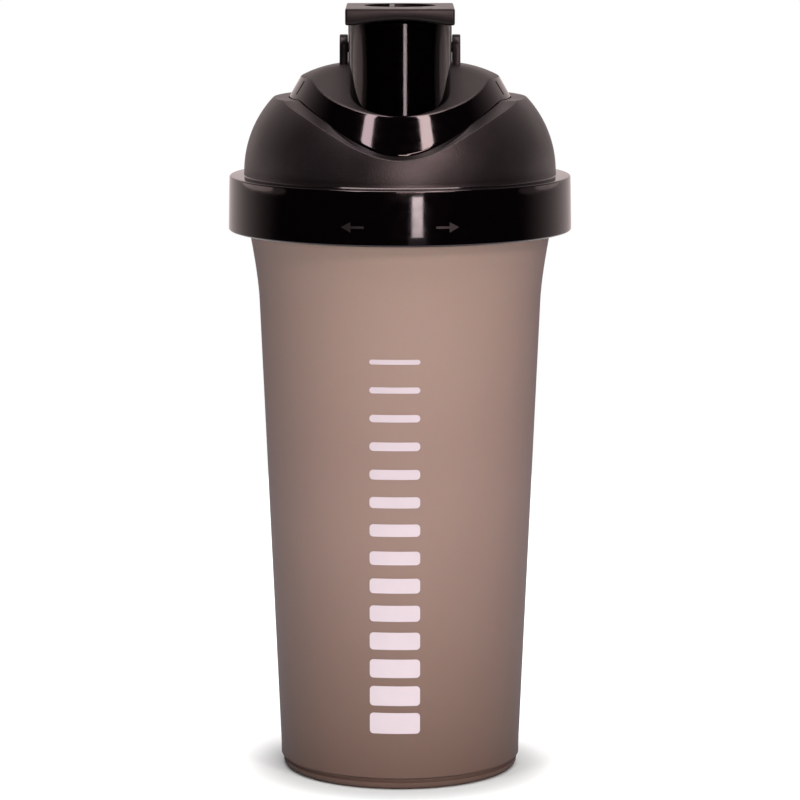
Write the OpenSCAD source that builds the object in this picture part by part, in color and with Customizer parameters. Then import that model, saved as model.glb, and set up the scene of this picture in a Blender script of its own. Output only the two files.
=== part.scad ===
// Protein shaker bottle: a tapered cup, a two-start screw lid with a domed
// shoulder, a spout housing set into the dome, and a flip cap over the spout.
// Millimetres. The base stands on z = 0, the bottle's axis is the z axis and
// the drinking spout faces -y.

/* [Cup] */
// Outside radius of the cup just above the foot
cup_base_r = 35.4; // [30:0.1:40]
// Outside radius of the cup where the taper ends below the shoulder
cup_top_r = 41.2; // [38:0.1:43]
// Height where the straight taper ends and the flare begins
flare_z = 139; // [120:0.5:145]
// Height of the cup's drinking rim
rim_z = 172.9; // [170:0.1:173.5]
// Wall thickness of the cup
cup_wall = 1.6; // [1.2:0.1:2]
// Thickness of the cup's floor
floor_t = 2.4; // [1.6:0.1:3]

/* [Thread] */
// Outside radius of the cup's neck under the threads
neck_r = 45; // [44:0.1:45.5]
// Outside radius of the cup's thread crests
male_crest_r = 46.5; // [46:0.1:46.8]
// Inside radius of the collar's thread crests
female_crest_r = 45.5; // [45.4:0.1:46]
// Advance of the thread in one turn
lead = 8; // [6:0.5:10]
// Number of thread starts
starts = 2; // [1:1:3]

/* [Collar] */
// Outside radius of the collar at its bottom edge
collar_r = 50.1; // [49:0.1:52]
// Height of the collar's bottom edge
collar_bottom_z = 160.1; // [158:0.05:162]
// Height of the collar's top ledge
collar_top_z = 176; // [174:0.1:178]
// Inside radius of the collar between its threads
collar_bore_r = 47.7; // [47:0.1:48]

/* [Dome] */
// Radius of the dome's round shoulder seen in section
dome_arc_r = 31.5; // [28:0.1:34]
// Distance from the axis to the centre of that shoulder
dome_arc_x = 14; // [10:0.1:18]
// Wall thickness of the dome
dome_wall = 2; // [1.6:0.1:2.6]
// Height of the dome's flat ring above the collar's ledge
ring_h = 22.6; // [20:0.1:25]
// Lowest height of the front scoop above the collar's ledge
scoop_low = 7.8; // [6:0.1:12]
// Rise of the scoop from its lowest point to its sides
scoop_rise = 7.5; // [5:0.1:9]

/* [Spout housing] */
// Outside radius of the spout
spout_r = 9.5; // [8:0.1:10]
// Radius of the drinking bore
bore_r = 7.5; // [6:0.1:8]
// Distance from the bottle's axis to the spout's axis
spout_d = 20; // [18:0.1:22]
// Height of the spout's mouth above the collar's ledge
mouth_h = 40; // [37:0.1:41]
// Thickness of each hinge ear
ear_t = 2.4; // [1.6:0.1:2.6]
// Distance from the middle plane to an ear's inner face
ear_x = 15.15; // [15:0.05:16]

/* [Flip cap] */
// Outside radius of the round cap
cap_r = 14.4; // [13.5:0.1:15]
// Wall thickness of the cap
cap_wall = 1.8; // [1.2:0.1:2.2]
// Width of the cap's top slab
slab_w = 30.9; // [29:0.1:32]
// Thickness of the top slab
slab_t = 4.7; // [3.5:0.1:6]
// Height of the top slab's upper face above the collar's ledge
slab_h = 49.9; // [48:0.1:52]
// Distance from the bottle's axis to the slab's front face
slab_front = 35.5; // [34.8:0.1:37]
// Gap between the cap's knuckle and each ear
knuckle_gap = 0.2; // [0.1:0.05:0.5]
// Height of the hinge axis above the collar's ledge
hinge_h = 37; // [36:0.1:38]
// Distance of the hinge axis behind the bottle's axis
hinge_back = 1.5; // [0:0.1:3]
// Radius of the hinge pin
pin_r = 1.5; // [1.2:0.1:2]

/* [Hidden] */
$fn = 96;
zc = collar_top_z;

// Cup's foot, floor and flare
base_rise = 1.4;
base_ring_r = 27.6;
foot_x = 33.2;
foot_r = 1.5;
foot_top_z = 6.5;
flare_h = 25.5;
flare_power = 1.4;
inner_foot_r = 4.2;
rim_ease = 0.4;

// Thread ridges: where each starts, how far it turns, and its section
male_z = 166;
male_start = 200;
male_turn = 216;
female_z = 163.2;
female_turn = 250;
thread_play = 0.4;
ridge_half = 1.1;
ridge_slope = 0.6;
ridge_run = 14;
ridge_sink = 0.5;

// Lid's deck, the lip that hangs from it and the bead that holds the strainer
deck_z = collar_top_z - 2;
lip_in_r = 41.3;
lip_out_r = 42.9;
bead = 0.6;
bead_z = 168.5;

// Thumb groove in front of the spout housing
groove_r = 21;
groove_front = 23;
groove_skin = 2.6;
groove_depth = 1.2;
seat_gap = 0.1;

// Strainer
grid_r = 40.9;
grid_z = 169.4;
grid_t = 1.6;
grid_top = 173.8;
grid_hole_r = 2.5;
grid_step = 8.3;
grid_rings = 4;

// Witness slots in the housing's cone
slot_x = 29.4;
slot_d = 10.4;
slot_h = 23.6;
slot_deep = 4;
slot_w = 0.9;
slot_l = 4.6;

// Hinge ears, cap and plug
ear_r = 3.7;
ear_foot = 6;
ear_foot_h = 31;
knuckle_r = 4.1;
wing_gap = 0.45;
back_clear = 4.6;
back_clear_h = 32.9;
arch_r = 60;
arch_drop = 3.3;
recess_r = 10.2;
recess_y = 14.5;
recess_depth = 1.3;
rib_w = 1.5;
rib_x = -3.1;
post_r = 5;
post_tip_r = 3;

// Curves shared by the dome, the cone and the wings
arc_z = zc + 1;
cone_top_r = 31.2;
cone_top_h = 24.6;
cone_slope = 0.57;
cone_foot_h = 3;
cone_lean = atan(cone_slope);
wing_h = 34.6;
wing_slope = 0.44;
wing_tilt = atan(wing_slope);
scoop_half = 32;
scoop_tilt = 13.5;
scoop_front = 44.7;
pitch = lead / starts;

// Points along an arc, for sections that are turned about the axis
function arc(cx, cz, r, a0, a1, n) =
    [for (i = [0 : n]) [cx + r * cos(a0 + (a1 - a0) * i / n),
                        cz + r * sin(a0 + (a1 - a0) * i / n)]];

// Radius of the spout housing's cone at a height above the collar's ledge
function cone_r(h) = cone_top_r - cone_slope * (h - cone_top_h);

// Height of the scoop across the bottle's front, low in the middle
function scoop_z(x) =
    scoop_low + scoop_rise * (1 - cos(180 * min(abs(x), scoop_half) / scoop_half)) / 2;

// Radial fade at both ends of a thread ridge
function fade(a, turn, run) = min(1, min(a, turn - a) / run);

// Section corners of a thread ridge at angle a along the ridge
function ridge(root, crest, z0, a0, turn, a) =
    let (f = max(0.02, fade(a, turn, ridge_run)),
         r = root + (crest - root) * f,
         z = z0 + lead * a / 360,
         t = a0 + a,
         w0 = ridge_half,
         w1 = ridge_half - ridge_slope * f)
    [[root * cos(t), root * sin(t), z - w0],
     [r * cos(t), r * sin(t), z - w1],
     [r * cos(t), r * sin(t), z + w1],
     [root * cos(t), root * sin(t), z + w0]];

// One thread ridge; flip reverses the faces when the crest points inward
module thread(root, crest, z0, a0, turn, flip) {
    n = round(turn / 6);
    points = [for (i = [0 : n]) each ridge(root, crest, z0, a0, turn, turn * i / n)];
    sides = [for (i = [0 : n - 1], j = [0 : 3])
        let (a = 4 * i + j, b = 4 * i + (j + 1) % 4, c = a + 4, d = b + 4)
        each [[a, c, b], [b, c, d]]];
    ends = [[0, 1, 2], [0, 2, 3],
            [4 * n, 4 * n + 2, 4 * n + 1], [4 * n, 4 * n + 3, 4 * n + 2]];
    all_faces = concat(sides, ends);
    faces = flip ? all_faces : [for (f = all_faces) [f[0], f[2], f[1]]];
    polyhedron(points = points, faces = faces, convexity = 10);
}

// Outside radius of the cup's flare at height z
function flare_radius(z) =
    cup_top_r + (neck_r - cup_top_r) * pow((z - flare_z) / flare_h, flare_power);

// Cup: rounded foot, straight taper, flared shoulder and threaded neck
module cup() {
    neck_z = flare_z + flare_h;
    inside_r = neck_r - cup_wall;
    flare = [for (i = [0 : 10]) let (z = flare_z + flare_h * i / 10) [flare_radius(z), z]];
    outer = concat([[foot_x - 4.1, 0]], arc(foot_x, foot_r, foot_r, -90, -8, 6),
                   [[cup_base_r, 3.2], [cup_base_r, foot_top_z]],
                   flare, [[neck_r, rim_z - rim_ease], [neck_r - rim_ease, rim_z]]);
    inner = concat([[inside_r + rim_ease, rim_z], [inside_r, rim_z - rim_ease],
                    [inside_r, neck_z]],
                   [for (i = [9 : -1 : 0]) [flare[i][0] - cup_wall, flare[i][1]]],
                   arc(cup_base_r - cup_wall - inner_foot_r + 0.2,
                       base_rise + floor_t + inner_foot_r, inner_foot_r, 0, -90, 8));
    floor_edge = [[0, base_rise + floor_t], [0, base_rise], [base_ring_r, base_rise]];
    color([0.55, 0.5, 0.48])
    union() {
        rotate_extrude() polygon(concat(outer, inner, floor_edge));
        for (i = [0 : starts - 1])
            thread(neck_r - ridge_sink, male_crest_r, male_z,
                   male_start + 360 * i / starts, male_turn, false);
    }
}

// Front scoop, lowered by drop: a dipped cross-section carried along a rising line
module scoop(drop) {
    section = concat([for (i = [-34 : 2 : 34]) [i * 1.6, scoop_z(i * 1.6) - scoop_low]],
                     [[54.4, 60], [-54.4, 60]]);
    translate([0, -scoop_front, zc + scoop_low - drop])
    rotate([scoop_tilt, 0, 0])
    translate([0, 80, 0])
    rotate([90, 0, 0])
    linear_extrude(height = 110) polygon(section);
}

// Raised arrow on the collar's front, pointing along +x or -x
module arrow(x, z, way) {
    intersection() {
        translate([x, -46, z])
        rotate([90, 0, 0])
        linear_extrude(height = 8)
        polygon([[-3.2 * way, 0.35], [0.6 * way, 0.35], [0.6 * way, 1.5], [3.4 * way, 0],
                 [0.6 * way, -1.5], [0.6 * way, -0.35], [-3.2 * way, -0.35]]);
        translate([0, 0, z - 4]) cylinder(r = collar_r + 0.25, h = 8);
    }
}

// Conical seat of the spout housing, carried down by a depth
module seat(down) {
    low = cone_foot_h - down;
    translate([0, 0, zc + low])
    cylinder(r1 = cone_r(low) + seat_gap, r2 = cone_r(35) + seat_gap, h = 35 - low);
}

// Screw lid: threaded collar, sealing lip and dome shell in one moulding
module screw_lid() {
    top_a = asin((zc + ring_h - arc_z) / dome_arc_r);
    in_r = dome_arc_r - dome_wall;
    in_a = asin((zc + ring_h - dome_wall - arc_z) / in_r);
    female_start = male_start
        - 360 * (male_z - female_z + thread_play - pitch / 2) / lead;
    skirt = concat([[collar_bore_r, collar_bottom_z + 0.5], [collar_bore_r + 0.5, collar_bottom_z]],
                   arc(collar_r - 1, collar_bottom_z + 1, 1, -90, 0, 6),
                   arc(collar_r - 0.8, zc - 0.5, 0.5, 0, 90, 5));
    dome = arc(dome_arc_x, arc_z, dome_arc_r, asin(-1 / dome_arc_r), top_a, 26);
    cavity = arc(dome_arc_x, arc_z, in_r, in_a, 5.8, 22);
    color([0.09, 0.085, 0.09])
    union() {
        difference() {
            rotate_extrude()
            polygon(concat(skirt, dome, [[30, zc + ring_h], [30, zc + ring_h - dome_wall]], cavity,
                           [[lip_in_r, zc + cone_foot_h], [lip_in_r, bead_z + 0.7],
                            [lip_in_r - bead, bead_z + 0.3], [lip_in_r - bead, bead_z - 0.2],
                            [lip_in_r, bead_z - 0.8], [lip_out_r - 0.4, bead_z - 0.8],
                            [lip_out_r, bead_z - 0.1], [lip_out_r, deck_z],
                            [collar_bore_r, deck_z]]));
            scoop(0);
            seat(0);
        }
        // Inner skin of the dome below the scoop, with the thumb groove
        difference() {
            intersection() {
                scoop(groove_skin);
                rotate_extrude()
                polygon(concat(dome, [[20, zc + ring_h], [20, zc]]));
            }
            scoop(0);
            seat(10);
            intersection() {
                scoop(groove_depth);
                translate([0, -groove_front, zc]) cylinder(r = groove_r, h = 20);
            }
        }
        for (i = [0 : starts - 1])
            thread(collar_bore_r + ridge_sink, female_crest_r, female_z,
                   female_start + 360 * i / starts, female_turn, true);
        arrow(13.4, 165.6, 1);
        arrow(-13.4, 165.6, -1);
    }
}

// Soft ring between the lid's deck and the cup's rim
module lid_gasket() {
    color([0.16, 0.16, 0.17])
    rotate_extrude()
    polygon([[43.1, 173], [46.9, 173], [46.9, 174], [43.1, 174]]);
}

// Mixing grid: a perforated disc with a rim, held behind the lip's bead
module mixing_grid() {
    color([0.12, 0.12, 0.125])
    difference() {
        rotate_extrude()
        polygon([[0, grid_z], [grid_r - 0.3, grid_z], [grid_r, grid_z + 0.3], [grid_r, grid_top],
                 [grid_r - 1.7, grid_top], [grid_r - 1.7, grid_z + grid_t],
                 [0, grid_z + grid_t]]);
        translate([0, 0, grid_z - 1]) cylinder(r = grid_hole_r, h = grid_t + 2);
        for (ring = [1 : grid_rings])
            for (k = [0 : 6 * ring - 1])
                rotate([0, 0, 60 * k / ring])
                translate([grid_step * ring, 0, grid_z - 1])
                cylinder(r = grid_hole_r, h = grid_t + 2);
    }
}

// Solid envelope of the spout housing; inset shrinks it to make its cavity
module housing_body(inset) {
    foot = zc + cone_foot_h - (inset > 0 ? 1 : 0);
    intersection() {
        translate([0, 0, foot])
        cylinder(r1 = cone_r(foot - zc) - inset * 1.1, r2 = cone_r(40) - inset * 1.1,
                 h = zc + 40 - foot);
        rotate_extrude()
        polygon(concat([[0, foot - 1], [60, foot - 1], [60, arc_z]],
                       arc(dome_arc_x, arc_z, dome_arc_r - inset, 0, 90, 28),
                       [[0, arc_z + dome_arc_r - inset]]));
        below_wings(-inset / cos(wing_tilt));
    }
}

// One hinge ear, rounded over the hinge axis
module ear(x) {
    translate([x, hinge_back, zc + hinge_h]) rotate([0, 90, 0]) cylinder(r = ear_r, h = ear_t);
    translate([x, 0, zc + ear_foot_h])
    rotate([90, 0, 90])
    linear_extrude(height = ear_t)
    polygon([[hinge_back - ear_foot, 0], [hinge_back + ear_foot, 0],
             [hinge_back + ear_r, hinge_h - ear_foot_h],
             [hinge_back - ear_r, hinge_h - ear_foot_h]]);
}

// Drinking spout, trimmed level with the wings' inner half
module spout() {
    difference() {
        translate([0, -spout_d, zc + 10]) cylinder(r = spout_r, h = mouth_h - 10);
        below_wings(-1);
    }
}

// Everything below the wings' sloping plane, shifted up or down
module below_wings(shift) {
    translate([0, 0, zc + wing_h + shift])
    rotate([wing_tilt, 0, 0])
    translate([-60, -80, -80])
    cube([120, 160, 80]);
}

// Spout housing: cone, sloping wings, drinking spout and two hinge ears
module spout_housing() {
    color([0.07, 0.068, 0.07])
    difference() {
        union() {
            difference() {
                housing_body(0);
                housing_body(2);
                // Short witness slots down both sides of the cone
                for (side = [-1, 1])
                    translate([side * slot_x, -slot_d, zc + slot_h])
                    rotate([0, side * -cone_lean, 0])
                    translate([-slot_deep / 2, 0, 0])
                    cube([slot_deep, slot_w, slot_l]);
            }
            spout();
            ear(ear_x);
            ear(-ear_x - ear_t);
        }
        translate([0, -spout_d, zc + 10]) cylinder(r = bore_r, h = mouth_h);
        translate([-20, hinge_back, zc + hinge_h])
        rotate([0, 90, 0])
        cylinder(r = pin_r + 0.02, h = 40);
    }
}

// Pin through both ears and the cap's knuckle
module hinge_pin() {
    half = ear_x + ear_t - 0.1;
    color([0.62, 0.62, 0.63])
    translate([-half, hinge_back, zc + hinge_h])
    rotate([0, 90, 0])
    cylinder(r = pin_r, h = 2 * half);
}

// Flip cap: round shell over the spout, top slab, cheeks and hinge knuckle
module flip_cap() {
    slab_low_h = slab_h - slab_t;
    knuckle_half = ear_x - knuckle_gap;
    in_r = cap_r - cap_wall;
    color([0.06, 0.058, 0.06])
    difference() {
        union() {
            translate([0, -spout_d, zc + 15]) cylinder(r = cap_r, h = slab_low_h - 14);
            translate([-cap_r, -spout_d, zc + 15])
            cube([2 * cap_r, spout_d - 1, slab_low_h - 14]);
            translate([-slab_w / 2, -slab_front, zc + slab_low_h])
            cube([slab_w, slab_front - 1, slab_t]);
            translate([-knuckle_half, hinge_back, zc + hinge_h])
            rotate([0, 90, 0])
            cylinder(r = knuckle_r, h = 2 * knuckle_half);
            // Web that ties the knuckle to the slab
            translate([-knuckle_half, 0, zc])
            rotate([90, 0, 90])
            linear_extrude(height = 2 * knuckle_half)
            polygon([[-1, slab_h - 2], [0.8, slab_h - 5], [2.35, hinge_h + 3.36],
                     [hinge_back, hinge_h], [-2.5, hinge_h - 4.4], [-6, hinge_h - 4.4],
                     [-6, slab_h - 2]]);
        }
        // Underside kept clear of the wings
        below_wings(wing_gap);
        translate([-30, -back_clear, zc + 20])
        cube([60, back_clear + 12, back_clear_h - 20]);
        // Hollow around the spout
        difference() {
            union() {
                translate([0, -spout_d, zc + 10]) cylinder(r = in_r, h = slab_low_h - 10);
                translate([-in_r, -spout_d, zc + 10])
                cube([2 * in_r, spout_d - back_clear, slab_low_h - 10]);
            }
            translate([0, -spout_d, zc + mouth_h + 1.5]) cylinder(r = post_r, h = 10);
            translate([0, -spout_d, zc + mouth_h - 1.2]) cylinder(r = post_tip_r, h = 10);
        }
        // Arched underside of the slab in front of the shell
        difference() {
            translate([0, 0, zc + slab_h - arch_drop - arch_r])
            rotate([90, 0, 0])
            cylinder(r = arch_r, h = 50, $fn = 180);
            translate([0, -spout_d, zc]) cylinder(r = cap_r, h = 60);
            translate([-60, -spout_d - 3, zc]) cube([120, 60, 60]);
            translate([-60, -60, zc]) cube([120, 60, slab_low_h - 0.3]);
        }
        // Thumb recess in the slab, with a rib left standing in it
        difference() {
            translate([0, -recess_y, zc + slab_h - recess_depth]) cylinder(r = recess_r, h = 3);
            translate([rib_x, -recess_y - 20, zc + slab_h - recess_depth - 0.1])
            cube([rib_w, 40, recess_depth + 0.1]);
        }
        translate([-20, hinge_back, zc + hinge_h])
        rotate([0, 90, 0])
        cylinder(r = pin_r + 0.06, h = 40);
    }
}

// Soft plug carried by the cap's post, closing the spout's mouth
module spout_plug() {
    color([0.2, 0.2, 0.21])
    translate([0, -spout_d, zc + mouth_h])
    difference() {
        rotate_extrude()
        polygon([[0, -2.4], [6.4, -2.4], [6.7, -2.1], [7.1, 0.1], [9.3, 0.3], [9.3, 1.5],
                 [0, 1.5]]);
        translate([0, 0, -1.2]) cylinder(r = post_tip_r + 0.02, h = 4);
    }
}

cup();
screw_lid();
lid_gasket();
mixing_grid();
spout_housing();
hinge_pin();
flip_cap();
spout_plug();
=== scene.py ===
# %% [markdown]
# # A protein shaker bottle
# A shaker is a thin blow- or injection-moulded cup with a screw lid, and its character sits in
# three finishes: frosted translucent polypropylene for the cup, a fine matte texture on the
# lid's dome, and mirror-polished black where the tool was polished. The CAD model is the fixed
# frame here. It says where everything is, and this file gives each piece its final surface.

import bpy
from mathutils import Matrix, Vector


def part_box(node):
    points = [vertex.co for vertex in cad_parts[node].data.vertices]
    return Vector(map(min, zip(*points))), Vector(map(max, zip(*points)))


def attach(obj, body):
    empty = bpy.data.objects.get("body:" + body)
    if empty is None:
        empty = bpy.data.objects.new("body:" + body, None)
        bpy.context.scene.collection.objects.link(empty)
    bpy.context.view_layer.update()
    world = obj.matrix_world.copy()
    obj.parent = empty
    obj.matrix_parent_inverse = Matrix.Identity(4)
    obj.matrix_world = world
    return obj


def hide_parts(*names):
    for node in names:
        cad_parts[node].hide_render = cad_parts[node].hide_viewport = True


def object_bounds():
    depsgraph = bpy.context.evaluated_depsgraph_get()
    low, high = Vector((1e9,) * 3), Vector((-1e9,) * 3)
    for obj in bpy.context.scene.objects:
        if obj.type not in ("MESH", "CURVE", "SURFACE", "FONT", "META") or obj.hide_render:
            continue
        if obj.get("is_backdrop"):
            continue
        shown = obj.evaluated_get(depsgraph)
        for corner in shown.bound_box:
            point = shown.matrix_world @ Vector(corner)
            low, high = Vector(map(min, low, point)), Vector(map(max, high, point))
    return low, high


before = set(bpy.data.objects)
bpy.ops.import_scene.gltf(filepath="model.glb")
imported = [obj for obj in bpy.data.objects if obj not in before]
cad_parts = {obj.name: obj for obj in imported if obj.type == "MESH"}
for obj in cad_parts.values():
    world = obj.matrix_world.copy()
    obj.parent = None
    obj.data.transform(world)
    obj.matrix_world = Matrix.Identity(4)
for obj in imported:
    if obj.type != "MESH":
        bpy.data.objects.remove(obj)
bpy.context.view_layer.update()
print("nodes:", sorted(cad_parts))

# %% [markdown]
# ## Units and the few sizes everything hangs on
# Blender works in metres and the bottle was designed in millimetres, so one constant turns one
# into the other. The collar's ledge is the natural datum for the lid, because the dome, the
# spout housing and the cap are all measured up from it.

# %% Sizes
import math

import bmesh
import bpy
from mathutils import Matrix, Vector

MM = 0.001
LEDGE = 176.0  # height of the collar's ledge above the base
ARC_UP = 1.0  # centre of the dome's round shoulder above the ledge
ARC_X, ARC_Z, ARC_R = 14.0, LEDGE + ARC_UP, 31.5  # the shoulder's centre and radius in section
RING_H = 22.6  # the dome's flat ring above the ledge
HINGE_Y, HINGE_H = 1.5, 37.0  # hinge axis behind the bottle's axis, and above the ledge
SPOUT_Y = -20.0  # the spout's axis, towards the front
EAR_X, EAR_T = 15.15, 2.4  # the hinge ears' inner faces and thickness
KNUCKLE_GAP = 0.2  # between the cap's knuckle and each ear
STEPS = 240  # segments round the axis: a chord error of under 0.01 mm on the collar

collar_low, collar_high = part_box("screw_lid")
print("lid box in mm:", [round(v / MM, 1) for v in (*collar_low, *collar_high)])

# %% [markdown]
# ## Small modelling helpers
# Nearly every piece of a bottle is turned: a section is drawn once in the plane and swept round
# the axis, which is what a lathe does and what `bmesh.ops.spin` does. An arc helper keeps the
# sections readable, and one function turns a finished bmesh into an object that rides on its
# CAD body, takes its finish from a material slot and stands in for its CAD node.


# %% Arcs and lathes
def arc(cx, cz, r, start, end, n):
    """Points on an arc in the (radius, height) plane, angles in degrees."""
    turn = [math.radians(start + (end - start) * i / n) for i in range(n + 1)]
    return [(cx + r * math.cos(a), cz + r * math.sin(a)) for a in turn]


def line(p, q, n):
    """Points from p up to but not including q."""
    return [(p[0] + (q[0] - p[0]) * i / n, p[1] + (q[1] - p[1]) * i / n) for i in range(n)]


def lathe(section, steps=STEPS, closed=True, centre=(0.0, 0.0)):
    """Turns a section in millimetres round a vertical axis; each vertex keeps its row."""
    bm = bmesh.new()
    row = bm.verts.layers.int.new("row")
    verts = []
    for i, (r, z) in enumerate(section):
        v = bm.verts.new((0.0, -r * MM, z * MM))
        v[row] = i
        verts.append(v)
    for a, b in zip(verts, verts[1:]):
        bm.edges.new((a, b))
    if closed:
        bm.edges.new((verts[-1], verts[0]))
    bmesh.ops.spin(bm, geom=bm.verts[:] + bm.edges[:], cent=(0, 0, 0), axis=(0, 0, 1),
                   angle=math.tau, steps=steps, use_merge=True)
    bmesh.ops.remove_doubles(bm, verts=bm.verts[:], dist=1e-7)
    bmesh.ops.translate(bm, verts=bm.verts[:], vec=(centre[0] * MM, centre[1] * MM, 0))
    bmesh.ops.recalc_face_normals(bm, faces=bm.faces[:])
    return bm


print("a quarter arc:", [(round(x, 2), round(z, 2)) for x, z in arc(0, 0, 1, 0, 90, 2)])


# %% Rounding and joining
def sharp_edges(bm, degrees):
    """Edges where two faces meet at more than the given angle."""
    limit = math.radians(degrees)
    return [e for e in bm.edges if len(e.link_faces) == 2 and e.calc_face_angle(0.0) > limit]


def round_edges(bm, edges, width, segments=3):
    """Rounds edges by a width in millimetres."""
    bmesh.ops.bevel(bm, geom=edges, offset=width * MM, offset_type="OFFSET", affect="EDGES",
                    segments=segments, profile=0.5, material=-1, clamp_overlap=True)


def join(target, *others):
    """Copies the geometry of other bmeshes into the first one."""
    for other in others:
        shell = bpy.data.meshes.new("joined")
        other.to_mesh(shell)
        other.free()
        target.from_mesh(shell)
        bpy.data.meshes.remove(shell)
    return target


# %% Turning a bmesh into a finished piece
made = []


def finish_piece(bm, name, material, body, nodes=(), smooth=35):
    """Makes the object, shades it smooth up to an angle, and ties it to the frame."""
    mesh = bpy.data.meshes.new(name)
    bm.to_mesh(mesh)
    bm.free()
    piece = bpy.data.objects.new(name, mesh)
    bpy.context.scene.collection.objects.link(piece)
    mesh.materials.append(material)
    mesh.shade_smooth()
    mesh.set_sharp_from_angle(angle=math.radians(smooth))
    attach(piece, body)
    if nodes:
        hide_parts(*nodes)
    made.append(name)
    print(f"{name}: {len(mesh.polygons)} faces on {body}")
    return piece


def carve(bm, cutters):
    """Takes cutter solids away from a solid with an exact boolean and returns the result."""
    objects = []
    for i, part in enumerate([bm, *cutters]):
        mesh = bpy.data.meshes.new(f"carve{i}")
        part.to_mesh(mesh)
        part.free()
        objects.append(bpy.data.objects.new(f"carve{i}", mesh))
        bpy.context.scene.collection.objects.link(objects[-1])
    base = objects[0]
    for cutter in objects[1:]:
        cut = base.modifiers.new("cut", "BOOLEAN")
        cut.operation, cut.solver, cut.object = "DIFFERENCE", "EXACT", cutter
    shape = base.evaluated_get(bpy.context.evaluated_depsgraph_get()).to_mesh()
    result = bmesh.new()
    result.from_mesh(shape)
    for o in objects:
        mesh = o.data
        bpy.data.objects.remove(o)
        bpy.data.meshes.remove(mesh)
    return result


# %% [markdown]
# ## Camera and studio
# The picture is a catalogue shot: a long lens from a little above, a white sweep, and hardly
# any perspective. Black polished plastic shows nothing but what it reflects, so the lights are
# placed by where their reflections have to land. A narrow strip beside the camera draws the
# fine vertical line on the cap, two softboxes high in front make the two patches on the
# housing's sloping side, and a bright room behind the bottle lights its edges.

# %% Camera
LENS_MM = 169.8
CAMERA_AT = Vector((0.0, -1.100, 0.2795))
PITCH = 8.8  # degrees below level

camera = bpy.data.objects.new("camera", bpy.data.cameras.new("camera"))
camera.data.lens = LENS_MM
camera.data.sensor_width = 36.0
camera.data.clip_start, camera.data.clip_end = 0.05, 30.0
camera.location = CAMERA_AT
camera.rotation_euler = (math.radians(90 - PITCH), 0.0, 0.0)
bpy.context.scene.collection.objects.link(camera)
bpy.context.scene.camera = camera
bpy.context.scene.view_settings.view_transform = "Standard"
print("camera at", tuple(round(v, 3) for v in CAMERA_AT))


# %% A node helper and colours
def linear(hex_colour):
    """Turns an sRGB hex string into the linear colour that nodes work in."""
    parts = [int(hex_colour[i:i + 2], 16) / 255 for i in (1, 3, 5)]
    low = [c / 12.92 if c <= 0.04045 else ((c + 0.055) / 1.055) ** 2.4 for c in parts]
    return (*low, 1.0)


def add(tree, kind, settings=None, links=None, **sockets):
    """Adds a node, sets its properties and sockets, and links other nodes' outputs to it."""
    node = tree.nodes.new(kind)
    for key, value in (settings or {}).items():
        setattr(node, key, value)
    for key, value in sockets.items():
        node.inputs[key.replace("_", " ")].default_value = value
    for key, output in (links or {}).items():
        tree.links.new(output, node.inputs[key])
    return node


def new_material(name):
    """An empty node material and its tree."""
    material = bpy.data.materials.new(name)
    material.use_nodes = True
    material.node_tree.nodes.clear()
    print("material:", name)
    return material, material.node_tree


print("mid grey in linear light:", round(linear("#808080")[0], 3))


# %% Room light
WARM = "#FFEDEB"
world = bpy.data.worlds.new("studio")
bpy.context.scene.world = world
world.use_nodes = True
sky = world.node_tree
sky.nodes.clear()
direction = add(sky, "ShaderNodeTexCoord")
axes = add(sky, "ShaderNodeSeparateXYZ", links={"Vector": direction.outputs["Generated"]})
behind = add(sky, "ShaderNodeMapRange", {"interpolation_type": "SMOOTHSTEP"},
             {"Value": axes.outputs["Y"]}, From_Min=-0.1, From_Max=1.05, To_Min=0.0,
             To_Max=0.85)
room = add(sky, "ShaderNodeBackground", links={"Strength": behind.outputs["Result"]},
           Color=linear(WARM))
seen = add(sky, "ShaderNodeBackground", Color=(1.0, 1.0, 1.0, 1.0), Strength=1.0)
ray = add(sky, "ShaderNodeLightPath")
which = add(sky, "ShaderNodeMixShader", links={0: ray.outputs["Is Camera Ray"],
                                               1: room.outputs[0], 2: seen.outputs[0]})
add(sky, "ShaderNodeOutputWorld", links={"Surface": which.outputs[0]})
print("room light nodes:", len(sky.nodes))


# %% Softboxes
def softbox(name, azimuth, elevation, distance, width, height, watts, aim=(0.0, 0.0, 0.15),
            tint=WARM, round_shape=False):
    """An area light on a sphere round the bottle; azimuth 0 is the camera's side."""
    a, e = math.radians(azimuth), math.radians(elevation)
    where = Vector((math.sin(a) * math.cos(e), -math.cos(a) * math.cos(e), math.sin(e)))
    light = bpy.data.lights.new(name, "AREA")
    light.shape = "ELLIPSE" if round_shape else "RECTANGLE"
    light.size, light.size_y, light.energy = width, height, watts
    light.color = linear(tint)[:3]
    lamp = bpy.data.objects.new(name, light)
    lamp.location = Vector(aim) + where * distance
    lamp.rotation_euler = (-where).to_track_quat("-Z", "Y").to_euler()
    bpy.context.scene.collection.objects.link(lamp)


AT_COLLAR, AT_CAP = (0.0, 0.0, 0.157), (0.0, 0.0, 0.174)
softbox("strip", 11.2, -1, 1.0, 0.12, 0.10, 0.60, aim=AT_COLLAR, tint="#FFFFFF")
softbox("strip_low", 11.2, -1, 1.0, 0.2, 0.14, 0.03, aim=(0.0, 0.0, 0.03), tint="#F4F4FF")
softbox("front_left", -38, 53, 1.2, 0.15, 0.42, 2.6, tint="#FFF6FC")
softbox("front_right", 31, 54, 1.2, 0.17, 0.42, 3.5, tint="#FFF6F4")
softbox("front_fill", 24, 24, 1.3, 0.6, 0.2, 6.5, aim=(0.0, 0.0, 0.22))
softbox("dome_glow", 7, 8, 1.4, 0.45, 0.14, 6.5, aim=(0.0, 0.0, 0.18))
softbox("top", 0, 84, 1.0, 0.9, 0.6, 14, aim=(0.0, 0.0, 0.2), tint="#FFF6F5")
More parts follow.
